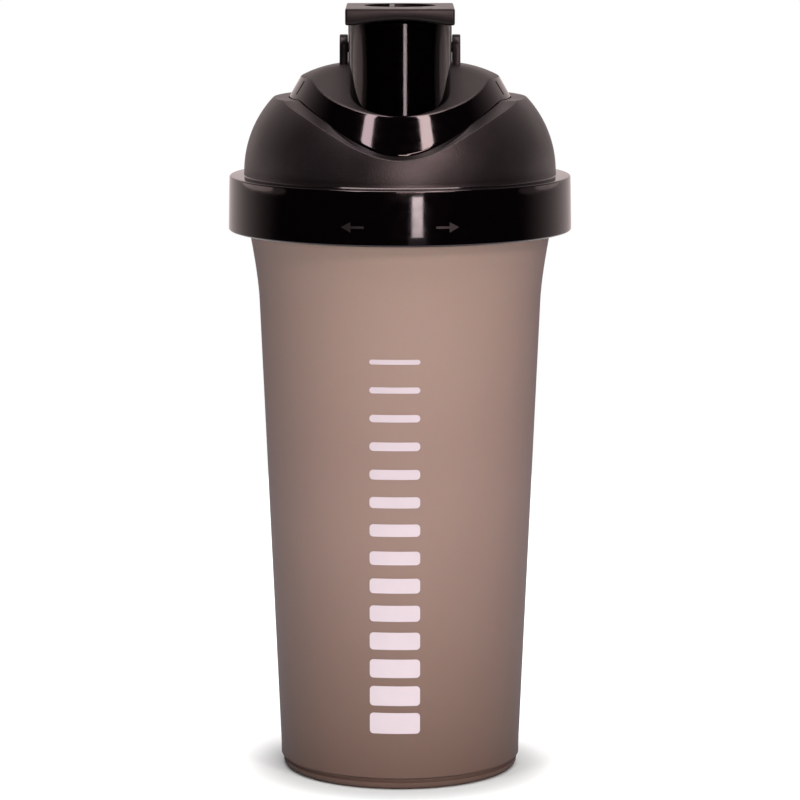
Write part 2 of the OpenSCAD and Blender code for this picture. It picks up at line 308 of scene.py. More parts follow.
softbox("cap_left", -112, 0, 0.5, 0.40, 0.04, 0.05, aim=AT_CAP, round_shape=True)
softbox("cap_left_soft", -93, 0, 0.5, 0.26, 0.04, 0.008, aim=AT_CAP, round_shape=True)
softbox("cap_right_soft", 97, 0, 0.5, 0.26, 0.04, 0.006, aim=AT_CAP, round_shape=True)
softbox("cap_right", 118, 0, 0.5, 0.36, 0.04, 0.03, aim=AT_CAP, round_shape=True)
print("softboxes placed:", len(bpy.data.lights))

# %% [markdown]
# ## The floor
# The floor is a disc of matt white paper. On a catalogue picture only the shadow right under
# the bottle stays grey and the rest burns out to white, so the paper carries a painted glow
# from a little outside the base, and the glow is nothing where the bottle stands. The grey
# round the base is real shadow and painted shadow together, where that painted glow is left
# out.

# %% Floor
FLOOR_R = 0.5
SHADOW_MIDDLE = (0, -0.005, 0)
SHADOW_IN, SHADOW_OUT, PAINTED_GLOW = 0.033, 0.056, 0.6  # the glow grows between these radii
floor_mesh = bmesh.new()
bmesh.ops.create_circle(floor_mesh, cap_ends=True, segments=96, radius=FLOOR_R)
sweep, tree = new_material("white_paper_sweep")
grain = add(tree, "ShaderNodeTexNoise", Scale=900.0, Detail=3.0)
paper_grain = add(tree, "ShaderNodeBump", links={"Height": grain.outputs["Fac"]}, Strength=0.05,
                  Distance=0.0002)
# Painted glow: the paper emits light that grows with the distance from a point 5 mm in front of
# the bottle's axis, so a painted shadow stays round the base.
spot = add(tree, "ShaderNodeTexCoord")
reach = add(tree, "ShaderNodeVectorMath", {"operation": "DISTANCE"},
            {"Vector": spot.outputs["Object"]})
reach.inputs[1].default_value = SHADOW_MIDDLE
glow = add(tree, "ShaderNodeMapRange", {"interpolation_type": "SMOOTHSTEP"},
           {"Value": reach.outputs["Value"]}, From_Min=SHADOW_IN, From_Max=SHADOW_OUT,
           To_Min=0.0, To_Max=PAINTED_GLOW)
paper = add(tree, "ShaderNodeBsdfPrincipled",
            links={"Normal": paper_grain.outputs["Normal"],
                   "Emission Strength": glow.outputs["Result"]},
            Base_Color=linear("#CCD6D6"), Roughness=0.9, Emission_Color=(1, 1, 1, 1))
add(tree, "ShaderNodeOutputMaterial", links={"Surface": paper.outputs[0]})
mesh = bpy.data.meshes.new("floor")
floor_mesh.to_mesh(mesh)
floor_mesh.free()
mesh.materials.append(sweep)
floor = bpy.data.objects.new("floor", mesh)
bpy.context.scene.collection.objects.link(floor)
floor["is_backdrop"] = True
print("floor radius in metres:", FLOOR_R)

# %% [markdown]
# ## Polished black polypropylene
# The collar, the housing's side and the cap come from tool steel polished to a mirror, and
# polypropylene copies it: an IOR near 1.49, a very dark body, and a reflection that is sharp
# but wavers a little, because the wall shrinks as it cools. That waviness is a few millimetres
# across and only microns deep. Finer dust-sized roughness changes keep it from looking like
# glass.


# %% Polished black
def polished_black(name, roughness=0.08, waviness=0.010):
    """A mirror-polished moulding: sharp reflections that waver over 9 mm waves of shrinkage."""
    material, tree = new_material(name)
    place = add(tree, "ShaderNodeTexCoord")
    waves = add(tree, "ShaderNodeTexNoise", links={"Vector": place.outputs["Object"]},
                Scale=1 / (9 * MM), Detail=1.0)
    shrink = add(tree, "ShaderNodeBump", links={"Height": waves.outputs["Fac"]}, Strength=1.0,
                 Distance=waviness * MM)
    haze = add(tree, "ShaderNodeTexNoise", links={"Vector": place.outputs["Object"]},
               Scale=1 / (2.5 * MM), Detail=4.0)
    rough = add(tree, "ShaderNodeMapRange", links={"Value": haze.outputs["Fac"]}, From_Min=0.3,
                From_Max=0.7, To_Min=roughness * 0.8, To_Max=roughness * 1.3)
    flow = add(tree, "ShaderNodeMix", {"data_type": "RGBA"})
    tree.links.new(haze.outputs["Fac"], flow.inputs[0])
    flow.inputs[6].default_value = linear("#020102")
    flow.inputs[7].default_value = linear("#050304")
    shader = add(tree, "ShaderNodeBsdfPrincipled",
                 links={"Base Color": flow.outputs[2], "Roughness": rough.outputs["Result"],
                        "Normal": shrink.outputs["Normal"]},
                 IOR=1.49, Specular_Tint=linear("#FFE8EA"))
    add(tree, "ShaderNodeOutputMaterial", links={"Surface": shader.outputs[0]})
    return material


# %% [markdown]
# ## Spark-textured black polypropylene
# The dome and the housing's wings have a fine spark-eroded texture, a field of rounded pits
# about a quarter of a millimetre across. It scatters the softboxes into a soft grey sheen.
# The pits are drawn a little coarser than real ones, so that they still show in the picture.


# %% Textured black
def textured_black(name, colour="#0A0809", roughness=0.42, pit=0.45, depth=0.04, shine=0.5):
    """A spark-eroded moulding: pits of the given size in mm, rubbed a little over 14 mm."""
    material, tree = new_material(name)
    place = add(tree, "ShaderNodeTexCoord")
    pits = add(tree, "ShaderNodeTexNoise", links={"Vector": place.outputs["Object"]},
               Scale=1 / (pit * MM), Detail=2.0)
    texture = add(tree, "ShaderNodeBump", links={"Height": pits.outputs["Fac"]}, Strength=1.0,
                  Distance=depth * MM)
    rub = add(tree, "ShaderNodeTexNoise", links={"Vector": place.outputs["Object"]},
              Scale=1 / (14 * MM), Detail=3.0)
    rough = add(tree, "ShaderNodeMapRange", links={"Value": rub.outputs["Fac"]}, From_Min=0.3,
                From_Max=0.7, To_Min=roughness * 0.9, To_Max=roughness * 1.1)
    tone = add(tree, "ShaderNodeMix", {"data_type": "RGBA"})
    tree.links.new(rub.outputs["Fac"], tone.inputs[0])
    tone.inputs[6].default_value = linear(colour)
    tone.inputs[7].default_value = linear("#0F0C0D")
    shader = add(tree, "ShaderNodeBsdfPrincipled",
                 links={"Base Color": tone.outputs[2], "Roughness": rough.outputs["Result"],
                        "Normal": texture.outputs["Normal"]},
                 IOR=1.49, Specular_Tint=linear("#FFE8EA"), Specular_IOR_Level=shine)
    add(tree, "ShaderNodeOutputMaterial", links={"Surface": shader.outputs[0]})
    return material


# %% [markdown]
# ## Frosted polypropylene
# The cup is smoke-tinted polypropylene with a frosted skin. Light goes into it, is spread by
# the crystals in the plastic and comes out again as a milky brown glow, so it is neither clear
# nor opaque. Transmission with a rough surface gives the see-through part, subsurface light the
# milky part, and a very fine bump the frosted feel. The smoke tint sits in the outer skin: a
# coat that holds back a little light, and more of it near the outline, where the way through
# the skin is longer. That draws the thin dark edge that every tinted cup has. The colour is
# also painted darker towards the base and paler towards the neck, by height alone: painted
# shade low down and painted light up high, for the light that falls from above.


# %% Frosted cup plastic
def frosted_plastic(name):
    """Frosted polypropylene: half-millimetre frost, and 38 mm clouds where the melt flowed."""
    material, tree = new_material(name)
    place = add(tree, "ShaderNodeTexCoord")
    frost = add(tree, "ShaderNodeTexNoise", links={"Vector": place.outputs["Object"]},
                Scale=1 / (0.5 * MM), Detail=2.0)
    skin = add(tree, "ShaderNodeBump", links={"Height": frost.outputs["Fac"]}, Strength=1.0,
               Distance=0.006 * MM)
    cloud = add(tree, "ShaderNodeTexNoise", links={"Vector": place.outputs["Object"]},
                Scale=1 / (38 * MM), Detail=2.0)
    tone = add(tree, "ShaderNodeMix", {"data_type": "RGBA"})
    tree.links.new(cloud.outputs["Fac"], tone.inputs[0])
    tone.inputs[6].default_value = linear("#A68E81")
    tone.inputs[7].default_value = linear("#AE9687")
    # Painted shade and light: by height alone the colour is mixed towards a darker brown near
    # the base and a paler one at the neck, standing in for the light that falls from above.
    height = add(tree, "ShaderNodeSeparateXYZ", links={"Vector": place.outputs["Object"]})
    depth = add(tree, "ShaderNodeMapRange", {"interpolation_type": "SMOOTHSTEP"},
                {"Value": height.outputs["Z"]}, From_Min=-0.02, From_Max=0.095, To_Min=1.0,
                To_Max=0.0)
    painted_shade_low = add(tree, "ShaderNodeMix", {"data_type": "RGBA"})
    tree.links.new(depth.outputs["Result"], painted_shade_low.inputs[0])
    tree.links.new(tone.outputs[2], painted_shade_low.inputs[6])
    painted_shade_low.inputs[7].default_value = linear("#745E51")
    neck = add(tree, "ShaderNodeMapRange", {"interpolation_type": "SMOOTHSTEP"},
               {"Value": height.outputs["Z"]}, From_Min=0.09, From_Max=0.15, To_Min=0.0,
               To_Max=1.0)
    painted_light_high = add(tree, "ShaderNodeMix", {"data_type": "RGBA"})
    tree.links.new(neck.outputs["Result"], painted_light_high.inputs[0])
    tree.links.new(painted_shade_low.outputs[2], painted_light_high.inputs[6])
    painted_light_high.inputs[7].default_value = linear("#B8A090")
    rough = add(tree, "ShaderNodeMapRange", links={"Value": frost.outputs["Fac"]}, From_Min=0.3,
                From_Max=0.7, To_Min=0.46, To_Max=0.56)
    shader = add(tree, "ShaderNodeBsdfPrincipled",
                 links={"Base Color": painted_light_high.outputs[2], "Roughness": rough.outputs["Result"],
                        "Normal": skin.outputs["Normal"]},
                 IOR=1.49, Transmission_Weight=0.06, Subsurface_Weight=0.15,
                 Subsurface_Scale=0.003, Specular_IOR_Level=0.12,
                 Coat_Weight=1.0, Coat_Roughness=0.6, Coat_IOR=1.08,
                 Coat_Tint=linear("#D7D6DB"))
    add(tree, "ShaderNodeOutputMaterial", links={"Surface": shader.outputs[0]})
    return material


# %% [markdown]
# ## Silicone and printing ink
# The gasket and the plug are moulded silicone, a soft dark rubber with an IOR near 1.41. Dust
# clings to it, so its shine is broad and uneven. The gauge is pad-printed, an opaque ink with a
# satin skin that is a touch thinner in places, which gives two very close whites. The pin is
# turned acetal and the strainer plain moulded polypropylene. Both take the textured black
# with a grain of their own.


# %% Silicone and printing ink
def soft_silicone(name, colour):
    """Moulded silicone: a dark, slightly dusty rubber with a broad dull shine."""
    material, tree = new_material(name)
    place = add(tree, "ShaderNodeTexCoord")
    dust = add(tree, "ShaderNodeTexNoise", links={"Vector": place.outputs["Object"]},
               Scale=1 / (1.2 * MM), Detail=5.0)
    rough = add(tree, "ShaderNodeMapRange", links={"Value": dust.outputs["Fac"]}, From_Min=0.3,
                From_Max=0.7, To_Min=0.5, To_Max=0.68)
    skin = add(tree, "ShaderNodeBump", links={"Height": dust.outputs["Fac"]}, Strength=1.0,
               Distance=0.01 * MM)
    tone = add(tree, "ShaderNodeMix", {"data_type": "RGBA"})
    tree.links.new(dust.outputs["Fac"], tone.inputs[0])
    tone.inputs[6].default_value = linear(colour)
    tone.inputs[7].default_value = linear("#2C2C2E")
    shader = add(tree, "ShaderNodeBsdfPrincipled",
                 links={"Base Color": tone.outputs[2], "Roughness": rough.outputs["Result"],
                        "Normal": skin.outputs["Normal"]}, IOR=1.41)
    add(tree, "ShaderNodeOutputMaterial", links={"Surface": shader.outputs[0]})
    return material


def printing_ink(name):
    """Pad-printing ink: opaque white, a little thinner in places, with a satin skin."""
    material, tree = new_material(name)
    place = add(tree, "ShaderNodeTexCoord")
    film = add(tree, "ShaderNodeTexNoise", links={"Vector": place.outputs["Object"]},
               Scale=1 / (6 * MM), Detail=3.0)
    tone = add(tree, "ShaderNodeMix", {"data_type": "RGBA"})
    tree.links.new(film.outputs["Fac"], tone.inputs[0])
    tone.inputs[6].default_value = linear("#BBB1B8")
    tone.inputs[7].default_value = linear("#C4BAC1")
    rough = add(tree, "ShaderNodeMapRange", links={"Value": film.outputs["Fac"]}, From_Min=0.3,
                From_Max=0.7, To_Min=0.4, To_Max=0.5)
    shader = add(tree, "ShaderNodeBsdfPrincipled",
                 links={"Base Color": tone.outputs[2], "Roughness": rough.outputs["Result"]},
                 IOR=1.48)
    add(tree, "ShaderNodeOutputMaterial", links={"Surface": shader.outputs[0]})
    return material


# %% Materials of this bottle
collar_black = polished_black("polished_polypropylene_collar")
cap_black = polished_black("polished_polypropylene_cap", roughness=0.07, waviness=0.005)
dome_black = textured_black("spark_textured_polypropylene")
satin_black = textured_black("satin_polypropylene_slab", roughness=0.3, pit=0.8, depth=0.006,
                             shine=0.16)
grid_black = textured_black("moulded_polypropylene_strainer", roughness=0.35, pit=0.9,
                            depth=0.01)
pin_black = textured_black("turned_acetal_pin", colour="#0E0E0F", roughness=0.3, pit=0.3,
                           depth=0.004)
seal_grey = soft_silicone("moulded_silicone", "#232325")
cup_plastic = frosted_plastic("frosted_smoke_polypropylene")
ink_white = printing_ink("pad_printed_white_ink")
print("materials ready:", len(bpy.data.materials))


# %% [markdown]
# ## The dome and its dipped front
# The dome is a body of revolution everywhere except at the front, where the rim dips in a wide
# smile. A boolean would leave slivers along that dip. Instead the section is turned with the
# same number of rows all the way round, and then every row is slid to where the section says it
# belongs at that angle, so the rim stays one clean loop of edges.


# %% The scoop and the cone as heights and radii
SCOOP_LOW, SCOOP_RISE, SCOOP_HALF = 7.8, 7.5, 32.0
SCOOP_TILT, SCOOP_FRONT = math.radians(13.5), 44.7
CONE_R, CONE_H, CONE_SLOPE = 31.2, 24.6, 0.57


def cone_radius(h):
    """Radius of the housing's cone at a height above the ledge."""
    return CONE_R - CONE_SLOPE * (h - CONE_H)


def scoop_height(x, front):
    """Height above the ledge of the dip at a place across and towards the front."""
    across = min(abs(x), SCOOP_HALF) / SCOOP_HALF
    rise = SCOOP_RISE * (1 - math.cos(math.pi * across)) / 2
    fall = (SCOOP_FRONT - front) * math.tan(SCOOP_TILT)
    return SCOOP_LOW + rise / math.cos(SCOOP_TILT) + fall


def rim_height(t, r):
    """Height of the rim surface at angle t from the front and radius r."""
    return min(RING_H, scoop_height(r * math.sin(t), r * math.cos(t)))


def dome_arc_top(t, radius, drop):
    """Angle along the dome's arc where it meets the rim surface, by halving."""
    low, high = 0.0, math.asin((RING_H - drop - ARC_UP) / radius)
    for _ in range(24):
        mid = (low + high) / 2
        r = ARC_X + radius * math.cos(mid)
        if ARC_UP + radius * math.sin(mid) < rim_height(t, r) - drop:
            low = mid
        else:
            high = mid
    return math.degrees(low)


print("rim height in front and behind:", round(rim_height(0, 40), 2), rim_height(math.pi, 40))


# %% The lid's section at any angle
GROOVE_R, GROOVE_FRONT, GROOVE_DEEP = 21.0, 23.0, 3.0


def cone_meets_rim(t):
    """Radius where the rim surface reaches the housing, just clear of its cone."""
    r = 36.0
    for _ in range(12):
        r = cone_radius(rim_height(t, r)) + 0.08
    return r


def groove_radius(t, inner):
    """Outer radius of the thumb groove, never inside the rim's inner edge."""
    under = GROOVE_R ** 2 - (GROOVE_FRONT * math.sin(t)) ** 2
    out = GROOVE_FRONT * math.cos(t) + math.sqrt(max(under, 0.0))
    return max(inner + 0.02, out)


def lid_section(t):
    """The lid's closed section in millimetres at angle t from the front."""
    collar = [(47.7, 160.6), (48.2, 160.1), *arc(49.55, 160.65, 0.55, -90, 0, 6),
              *line((50.06, 163.0), (49.84, 174.8), 5), *arc(49.3, 175.45, 0.5, 0, 90, 6),
              (48.0, 175.98), (46.6, 176.0), (45.85, 176.05), (45.6, 176.3)]
    top = dome_arc_top(t, ARC_R, 0.0)
    dome = arc(ARC_X, ARC_Z, ARC_R, 0, top, 44)
    outer = dome[-1][0]
    inner = cone_meets_rim(t)
    groove = groove_radius(t, inner)
    deep = min(GROOVE_DEEP, groove - inner)
    rim = [(r, LEDGE + rim_height(t, r)) for r, _ in line((outer, 0), (groove, 0), 8)[1:]]
    lip = LEDGE + rim_height(t, groove)
    hole = [(groove, lip), (groove - 0.01, lip - deep), (inner, lip - deep),
            (inner, lip - deep - 1.4)]
    under = arc(ARC_X, ARC_Z, ARC_R - 2, dome_arc_top(t, ARC_R - 2, 2.6), 6, 20)
    lips = [(41.3, LEDGE + 3), (41.3, 169.2), (40.7, 168.8), (40.7, 168.3), (41.3, 167.7),
            (42.5, 167.7), (42.9, 168.4), (42.9, 174), (47.7, 174)]
    return collar + dome + rim + hole + under + lips, len(collar) + len(dome) - 1


print("points in the lid's section:", len(lid_section(0.0)[0]))


# %% [markdown]
# ## Threads
# Cup and lid carry two ridges each, started half a turn apart, so the lid rises 8 mm a turn and
# opens quickly. A ridge is a small four-sided section turned round the axis while it climbs,
# which the spin operator does when it is given a step upwards. Its ends fade into the wall, as
# a moulder makes them, so that the threads find each other.

# %% Threads swept as helices
LEAD = 8.0
THREAD_START = 200  # degrees, where a ridge on the cup begins
# The lid's ridges start 3.2 mm lower, and half of the 4 mm between two ridges further on.
LID_START = THREAD_START - 360 * 3.2 / LEAD + 360 * 2 / LEAD
FADE = 14  # degrees over which a ridge's ends fade


def thread(root, crest, z, start, turn, half=1.1, steps_per_turn=72):
    """A ridge swept up a helix, with a crest that fades in and out."""
    bm = bmesh.new()
    a = math.radians(start)
    out = Vector((math.cos(a), math.sin(a), 0))
    corners = [(root, -half), (crest, -half * 0.45), (crest, half * 0.45), (root, half)]
    ring = [bm.verts.new((out * r + Vector((0, 0, z + dz))) * MM) for r, dz in corners]
    for i, v in enumerate(ring):
        bm.edges.new((v, ring[(i + 1) % 4]))
    steps = round(steps_per_turn * turn / 360)
    bmesh.ops.spin(bm, geom=bm.verts[:] + bm.edges[:], cent=(0, 0, 0), axis=(0, 0, 1),
                   dvec=(0, 0, LEAD * turn / 360 / steps * MM), angle=math.radians(turn),
                   steps=steps)
    bmesh.ops.holes_fill(bm, edges=[e for e in bm.edges if e.is_boundary], sides=4)
    for v in bm.verts:
        along = (math.degrees(math.atan2(v.co.y, v.co.x)) - start + 1e-3) % 360
        fade = min(1.0, max(0.03, min(along, turn - along) / FADE))
        r = math.hypot(v.co.x, v.co.y)
        if abs(r / MM - crest) < 0.05:
            scale = (root + (crest - root) * fade) * MM / r
            v.co.x, v.co.y = v.co.x * scale, v.co.y * scale
    bmesh.ops.recalc_face_normals(bm, faces=bm.faces[:])
    return bm


print("the lid's ridges start at", LID_START, "degrees")

# %% Build the lid
section, rim_row = lid_section(0.0)
lid = lathe(section)
row = lid.verts.layers.int["row"]
sections = {}
for v in lid.verts:
    t = math.atan2(v.co.x, -v.co.y)
    key = round(t, 5)
    if key not in sections:
        sections[key] = lid_section(t)[0]
    r, z = sections[key][v[row]]
    v.co = Vector((r * math.sin(t), -r * math.cos(t), z)) * MM
rim_edges = [e for e in lid.edges if e.verts[0][row] == rim_row and e.verts[1][row] == rim_row]
round_edges(lid, rim_edges, 0.6, 4)
print("lid rows:", len(section), "rim edges:", len(rim_edges))


# %% [markdown]
# ## Turn arrows
# Two small arrows stand a quarter of a millimetre proud of the collar and say that it turns.
# Each is drawn flat, thickened, cut into narrow strips and bent round the bottle's axis, so
# that it hugs the collar. The fill gauge is made in the same way later on.

# %% Arrows on the collar
ROOTED = 0.25  # how deep a raised mark reaches into its wall
ARROW_X, ARROW_Z = 13.4, 165.6
COLLAR_R, COLLAR_DRAFT, COLLAR_LOW = 50.1, 0.3, 161.1


def wrapped(outline, radius, proud, step=1.0):
    """A flat outline in millimetres, thickened and bent round the bottle's axis."""
    bm = bmesh.new()
    face = bm.faces.new([bm.verts.new((x * MM, 0, z * MM)) for x, z in outline])
    low = min(x for x, _ in outline)
    high = max(x for x, _ in outline)
    grown = bmesh.ops.extrude_face_region(bm, geom=[face])
    front = [v for v in grown["geom"] if isinstance(v, bmesh.types.BMVert)]
    bmesh.ops.translate(bm, verts=front, vec=(0, -1.0, 0))
    cut = low + step
    while cut < high:
        bmesh.ops.bisect_plane(bm, geom=bm.verts[:] + bm.edges[:] + bm.faces[:],
                               plane_co=(cut * MM, 0, 0), plane_no=(1, 0, 0))
        cut += step
    for v in bm.verts:
        x, z = v.co.x / MM, v.co.z / MM
        r = radius(z) + (proud if v.co.y < -0.5 else -ROOTED)
        a = x / radius(z)
        v.co = Vector((r * math.sin(a), -r * math.cos(a), z)) * MM
    bmesh.ops.recalc_face_normals(bm, faces=bm.faces[:])
    return bm


def arrow_outline(x, z, way):
    """A moulded arrow about 6.6 mm long, pointing along way."""
    points = [(-3.2, 0.35), (0.6, 0.35), (0.6, 1.5), (3.4, 0), (0.6, -1.5), (0.6, -0.35),
              (-3.2, -0.35)]
    return [(x + way * px, z + pz) for px, pz in points]


def collar_radius(z):
    """Outside radius of the collar at a height."""
    return COLLAR_R - COLLAR_DRAFT * (z - COLLAR_LOW) / (LEDGE - COLLAR_LOW)


arrows = [wrapped(arrow_outline(way * ARROW_X, ARROW_Z, way), collar_radius, 0.28)
          for way in (-1, 1)]
helices = [thread(48.2, 45.5, 163.2, LID_START + 180 * i, 250) for i in range(2)]
shell = join(lid, *arrows, *helices)
lid_piece = finish_piece(shell, "screw_lid_shell", collar_black, "lid", ["screw_lid"])

# The dome, its rim and the arrows take the texture and the groove a satin finish. The collar
# and the ledge stay polished.
lid_piece.data.materials.append(dome_black)
lid_piece.data.materials.append(satin_black)
for face in lid_piece.data.polygons:
    r = math.hypot(face.center.x, face.center.y) / MM
    h = face.center.z / MM - LEDGE
    on_arc = abs(math.hypot(r - ARC_X, h - ARC_UP) - ARC_R) < 0.12 and h > 0.2
    on_arrow = r > 50.12 and h < 0 and abs(face.center.x) < 20 * MM and face.center.y < 0
    across, front = face.center.x / MM, -face.center.y / MM
    on_rim = abs(h - min(RING_H, scoop_height(across, front))) < 0.25 and r > 30
    in_groove = not on_rim and not on_arc and r > 30 and h > 4 and math.hypot(
        across, front - GROOVE_FRONT) < GROOVE_R + 0.1
    if on_arc or on_arrow or on_rim:
        face.material_index = 1
    elif in_groove:
        face.material_index = 2

# %% [markdown]
# ## The spout housing
# The housing is a polished cone with two sloping wings on top. Its top is the lower of two
# surfaces, the dome's own curve and a plane that falls to the front, blended over a fraction
# of a millimetre as a moulder's radius would be. It is turned and slid the same way as the
# dome, then the spout's bore and the ears' pin holes are cut.

# %% Heights of the housing's top
WING_H, WING_SLOPE, WING_BLEND = 34.6, 0.44, 1.2


def top_height(x, front):
    """Height of the wings above the ledge, the dome curve and the plane softly joined."""
    r = min(math.hypot(x, front), ARC_X + ARC_R - 0.01)
    curve = ARC_UP + (math.sqrt(ARC_R ** 2 - (r - ARC_X) ** 2) if r > ARC_X else ARC_R)
    plane = WING_H - WING_SLOPE * front
    near = max(WING_BLEND - abs(curve - plane), 0.0) / WING_BLEND
    return min(curve, plane) - near ** 2 * WING_BLEND / 4


def edge_radius(t):
    """Radius where the wings' surface meets the cone."""
    r = 32.0
    for _ in range(30):
        r = 0.5 * r + 0.5 * cone_radius(top_height(r * math.sin(t), r * math.cos(t)))
    return r


print("the wings meet the cone at radius", round(edge_radius(0.0), 2), "in front")


# %% The housing's section
def housing_section(t):
    """Closed section of the housing from its crown, over the edge and down inside."""
    edge = edge_radius(t)
    top = [(max(edge * k / 26, 0.0), 0) for k in range(27)]
    top = [(r, LEDGE + top_height(r * math.sin(t), r * math.cos(t))) for r, _ in top]
    lip_h = rim_height(t, cone_meets_rim(t)) + 0.25
    edge_h = top[-1][1] - LEDGE
    side = [(cone_radius(h), LEDGE + h) for h in
            [edge_h + (lip_h - edge_h) * k / 8 for k in range(1, 9)]]
    foot = [(cone_radius(lip_h) - 0.1, LEDGE + lip_h - 0.5),
            (cone_radius(3.6) - 0.6, LEDGE + 3.6), (cone_radius(3) - 0.6, LEDGE + 3),
            (cone_radius(3) - 2.2, LEDGE + 3)]
    inner = [(r * 0.93, z - 2.1) for r, z in reversed(top)]
    return top + side + foot + inner, len(top) - 1, len(top) + len(side) - 1


print("points in the housing's section:", len(housing_section(0.0)[0]))


# %% [markdown]
# ## Straight-sided solids
# Ears, the knuckle and the slots are an outline pushed along one direction, and the pin holes
# and the bore are plain cylinders. Three small functions make them all, some as material and
# some as cutters.


# %% Plates, cylinders along x and upright posts
def plate(points, x0, x1):
    """A closed outline in the (y, z) plane, in millimetres, extruded from x0 to x1."""
    bm = bmesh.new()
    face = bm.faces.new([bm.verts.new((x0 * MM, y * MM, z * MM)) for y, z in points])
    grown = bmesh.ops.extrude_face_region(bm, geom=[face])
    far = [v for v in grown["geom"] if isinstance(v, bmesh.types.BMVert)]
    bmesh.ops.translate(bm, verts=far, vec=((x1 - x0) * MM, 0, 0))
    bmesh.ops.recalc_face_normals(bm, faces=bm.faces[:])
    return bm


def rod(radius, x0, x1, y, z, segments=64):
    """A solid cylinder along x."""
    return plate([(y + r, z + h) for r, h in arc(0, 0, radius, 0, 360 - 360 / segments,
                                                 segments - 1)], x0, x1)


def post(radius, x, y, z0, z1, segments=96):
    """A solid upright cylinder."""
    bm = bmesh.new()
    bmesh.ops.create_cone(bm, cap_ends=True, segments=segments, radius1=radius * MM,
                          radius2=radius * MM, depth=(z1 - z0) * MM)
    bmesh.ops.translate(bm, verts=bm.verts[:], vec=(x * MM, y * MM, (z0 + z1) / 2 * MM))
    return bm


# %% Build the housing
SPOUT_IN, SPOUT_OUT, SPOUT_LIP = 7.5, 9.5, 0.6
SLOT_X, SLOT_H, SLOT_W, SLOT_L = 29.4, 23.6, 0.9, 4.6
SLOT_FROM = -10.4  # the slot's front face, a little in front of the bottle's axis
section, edge_row, lip_row = housing_section(0.0)
body = lathe(section, closed=False)
row = body.verts.layers.int["row"]
sections = {}
for v in body.verts:
    if math.hypot(v.co.x, v.co.y) < 1e-6:
        continue
    t = math.atan2(v.co.x, -v.co.y)
    key = round(t, 5)
    if key not in sections:
        sections[key] = housing_section(t)[0]
    r, z = sections[key][v[row]]
    v.co = Vector((r * math.sin(t), -r * math.cos(t), z)) * MM
edges = [e for e in body.edges
         if e.verts[0][row] == e.verts[1][row] and e.verts[0][row] in (edge_row, lip_row)]
round_edges(body, edges, 0.4, 3)


def slot(side):
    """A short witness slot down one side of the cone, side 1 or -1."""
    bm = plate([(SLOT_FROM, 0), (SLOT_FROM + SLOT_W, 0), (SLOT_FROM + SLOT_W, SLOT_L),
                (SLOT_FROM, SLOT_L)], -2, 2)
    bmesh.ops.rotate(bm, cent=(0, 0, 0), verts=bm.verts[:],
                     matrix=Matrix.Rotation(-side * math.atan(CONE_SLOPE), 3, "Y"))
    bmesh.ops.translate(bm, verts=bm.verts[:],
                        vec=(side * SLOT_X * MM, 0, (LEDGE + SLOT_H) * MM))
    return bm


body = carve(body, [post(SPOUT_IN, 0, SPOUT_Y, LEDGE + 12, LEDGE + 45), slot(1), slot(-1)])
print("housing faces:", len(body.faces))


# %% [markdown]
# ## Ears and spout
# The ears carry the cap's pin, so each is a plate with a round head about the hinge axis. The
# spout is a short tube with a rounded lip, made for drinking from, and it stands at the front
# of the housing under the cap.

# %% Ears and spout
EAR_R, EAR_HALF, EAR_LOW, EAR_HOLE = 3.7, 6, 31, 1.52


def ear(x):
    """A hinge ear: a plate with a round top over the pin."""
    top = arc(HINGE_Y, LEDGE + HINGE_H, EAR_R, 0, 180, 24)
    base = [(HINGE_Y - EAR_HALF, LEDGE + EAR_LOW), (HINGE_Y + EAR_HALF, LEDGE + EAR_LOW)]
    bm = plate(top + base, x, x + EAR_T)
    bm = carve(bm, [rod(EAR_HOLE, x - 1, x + EAR_T + 1, HINGE_Y, LEDGE + HINGE_H)])
    round_edges(bm, sharp_edges(bm, 50), 0.3, 2)
    return bm


mouth = LEDGE + 40
brim = mouth - SPOUT_LIP
spout = lathe([(SPOUT_IN, LEDGE + 22), (SPOUT_IN, brim),
               *arc(SPOUT_IN + SPOUT_LIP, brim, SPOUT_LIP, 180, 90, 5),
               *arc(SPOUT_OUT - SPOUT_LIP, brim, SPOUT_LIP, 90, 0, 5),
               (SPOUT_OUT, LEDGE + 22)], 96, True, (0, SPOUT_Y))
# The tube's lower end follows the wings' slope, just inside their skin.
for v in spout.verts:
    if v.co.z < (LEDGE + 23) * MM:
        v.co.z = (LEDGE + WING_H - 1.0 + WING_SLOPE * v.co.y / MM) * MM
shell = join(body, spout, ear(EAR_X), ear(-EAR_X - EAR_T))
housing_piece = finish_piece(shell, "spout_housing_shell", cap_black, "lid",
                             ["spout_housing"])
# The wings take the dome's texture. The ears and what lies below the dome's rim are satin.
housing_piece.data.materials.append(dome_black)
housing_piece.data.materials.append(satin_black)
for face in housing_piece.data.polygons:
    c = face.center / MM
    surface = LEDGE + top_height(c.x, -c.y)
    r, t = math.hypot(c.x, c.y), math.atan2(c.x, -c.y)
    on_ear = abs(c.x) > EAR_X - 0.05 and c.z > surface + 0.1
    below_rim = c.z < LEDGE + rim_height(t, r) - 0.25
    if on_ear or below_rim:
        face.material_index = 2
    elif abs(c.z - surface) < 0.12 and face.normal.z > 0.3:
        face.material_index = 1

# %% [markdown]
# ## The flip cap
# The cap is a round shell under a flat slab. Its plan is drawn once, a half circle at the front
# and straight cheeks back to the hinge, then inset by the wall thickness and raised. Moving the
# bottom ring to follow the wings' slope keeps the walls made of clean vertical strips.
# Known fault: a new face has no normal until `normal_update()` is called on it, and an inset
# without one moves nothing. So the wall comes out with no thickness and its edge unrounded.

# %% Cap shell
CAP_R, CAP_WALL, CAP_GAP = 14.4, 1.8, 0.3  # the gap is left above the wings
CAP_BACK = -1.0
SLAB_H, SLAB_T, SLAB_W, SLAB_FRONT = 49.9, 4.7, 30.9, 35.5


def shell_bottom(y):
    """Lowest height of the cap's wall at a place along the bottle, clear of the wings."""
    low = WING_H + CAP_GAP + WING_SLOPE * y
    return max(low, 32.9) if y > -4.6 else low


